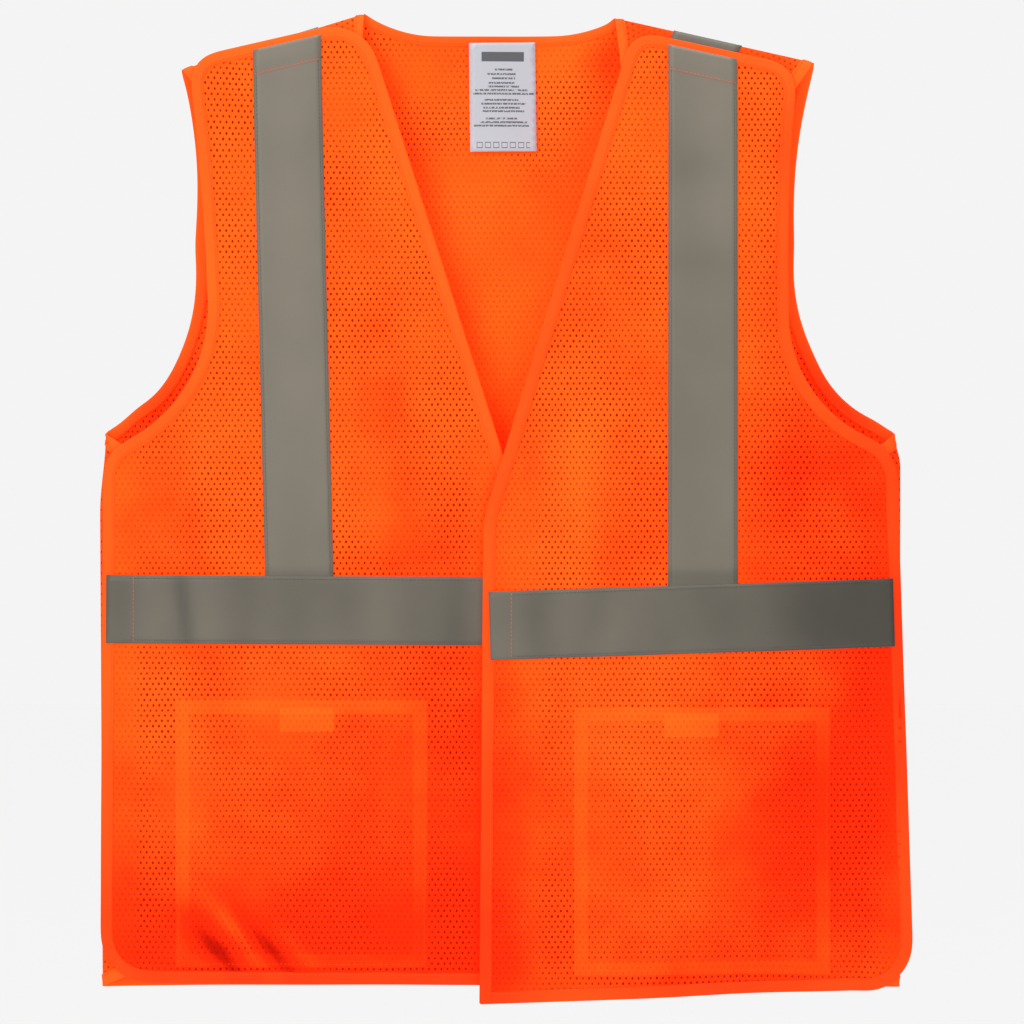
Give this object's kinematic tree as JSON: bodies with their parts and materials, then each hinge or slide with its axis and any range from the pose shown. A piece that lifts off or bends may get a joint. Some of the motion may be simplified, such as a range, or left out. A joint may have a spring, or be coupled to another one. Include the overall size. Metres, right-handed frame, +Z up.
{
  "type": "high visibility vest",
  "caption": "Sleeveless mesh safety vest laid out square, with bound edges, reflective bands, hidden pockets and hook-and-loop closures at the shoulders, sides and front.",
  "frame": {"origin": "centre of the back neck edge, in the middle of the back cloth's thickness", "axes": "+Z up towards the shoulders, -Y towards the front, +X towards the wearer's left"},
  "size_m": [0.6085, 0.036, 0.7402],
  "materials": {
    "mesh_cloth": "open knitted polyester mesh, fluorescent orange",
    "binding": "woven polyester edge tape, fluorescent orange",
    "reflective_tape": "silver-grey retroreflective tape, satin",
    "hook": "hook fastener strip, orange nylon",
    "loop": "loop fastener strip, orange brushed nylon",
    "label": "white satin label ribbon"
  },
  "bodies": {
    "back": {"back_panel": "mesh_cloth", "back_neck_binding": "binding", "back_right_armhole_binding": "binding", "back_left_armhole_binding": "binding", "back_hem_binding": "binding", "back_right_side_flap_binding": "binding", "back_left_side_flap_binding": "binding", "back_right_shoulder_flap_binding": "binding", "back_left_shoulder_flap_binding": "binding", "back_waist_tape": "reflective_tape", "back_right_strap_tape": "reflective_tape", "back_left_strap_tape": "reflective_tape", "back_right_shoulder_loop": "loop", "back_right_side_loop": "loop", "back_left_shoulder_loop": "loop", "back_left_side_loop": "loop", "neck_label": "label"},
    "left_side": {"left_side_cloth": "mesh_cloth", "left_side_binding": "binding", "left_waist_tape_end": "reflective_tape", "left_side_hook": "hook"},
    "left_front": {"left_front_panel": "mesh_cloth", "left_front_binding": "binding", "left_waist_tape": "reflective_tape", "left_strap_tape": "reflective_tape", "left_shoulder_hook": "hook", "left_pocket": "mesh_cloth", "left_pocket_hook": "hook", "left_pocket_loop": "loop", "left_centre_hook": "hook"},
    "right_side": {"right_side_cloth": "mesh_cloth", "right_side_binding": "binding", "right_waist_tape_end": "reflective_tape", "right_side_hook": "hook"},
    "right_front": {"right_front_panel": "mesh_cloth", "right_front_binding": "binding", "right_waist_tape": "reflective_tape", "right_strap_tape": "reflective_tape", "right_shoulder_hook": "hook", "right_pocket": "mesh_cloth", "right_pocket_hook": "hook", "right_pocket_loop": "loop", "right_centre_loop": "loop"}
  },
  "joints": [
    {"name": "left_release", "type": "slide", "parent": "back", "child": "left_side", "axis": [0, -1, 0], "range_m": [0, 0.25]},
    {"name": "right_release", "type": "slide", "parent": "back", "child": "right_side", "axis": [0, -1, 0], "range_m": [0, 0.2]},
    {"name": "left_open", "type": "hinge", "parent": "left_side", "child": "left_front", "pos_m": [0.264, -0.0351, -0.5], "axis": [0, 0, 1], "range_deg": [0, 150]},
    {"name": "right_open", "type": "hinge", "parent": "right_side", "child": "right_front", "pos_m": [-0.267, -0.0305, -0.5], "axis": [0, 0, -1], "range_deg": [0, 120]}
  ],
  "couplings": [
    {"joint": "right_release", "follows": "left_release", "ratio": 0.8},
    {"joint": "right_open", "follows": "left_open", "ratio": 0.8}
  ]
}
